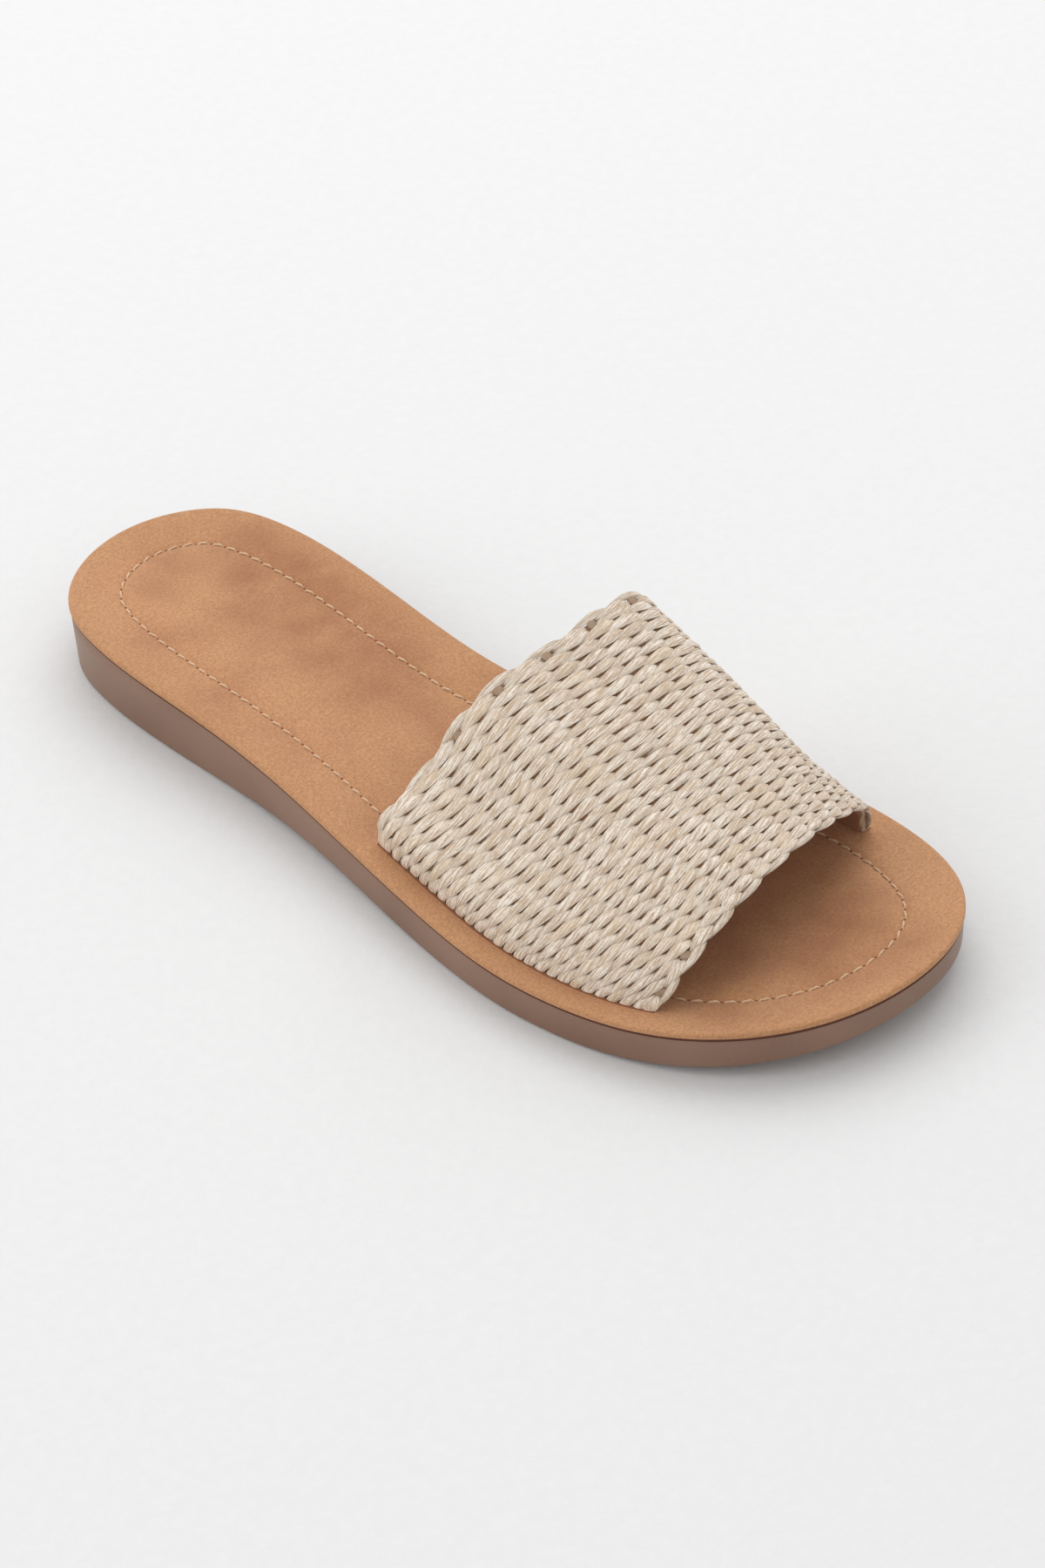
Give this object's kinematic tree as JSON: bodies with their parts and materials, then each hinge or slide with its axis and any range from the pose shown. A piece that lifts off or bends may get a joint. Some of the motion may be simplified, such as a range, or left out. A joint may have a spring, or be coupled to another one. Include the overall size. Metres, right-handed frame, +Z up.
{
  "type": "slide sandal",
  "caption": "Flat open-toe slide sandal for the right foot: moulded sole unit, insole board, tan footbed cover and one wide woven band.",
  "frame": {"origin": "centre of the bounding box on the ground under the sole", "axes": "+Y from heel to toe, +X to the outer side of the right foot, +Z up"},
  "size_m": [0.0964, 0.2494, 0.0576],
  "materials": {
    "sole_rubber": "satin moulded brown-taupe wall",
    "painted_edge": "thin dark reddish-brown painted edge",
    "footbed_leather": "tan nubuck look, softly mottled",
    "woven_straw": "soft cream to straw fibre strands, woven like bricks"
  },
  "bodies": {
    "root": {"outsole": "sole_rubber", "insole_board": "painted_edge", "footbed_cover": "footbed_leather", "woven_band": "woven_straw"}
  },
  "joints": []
}
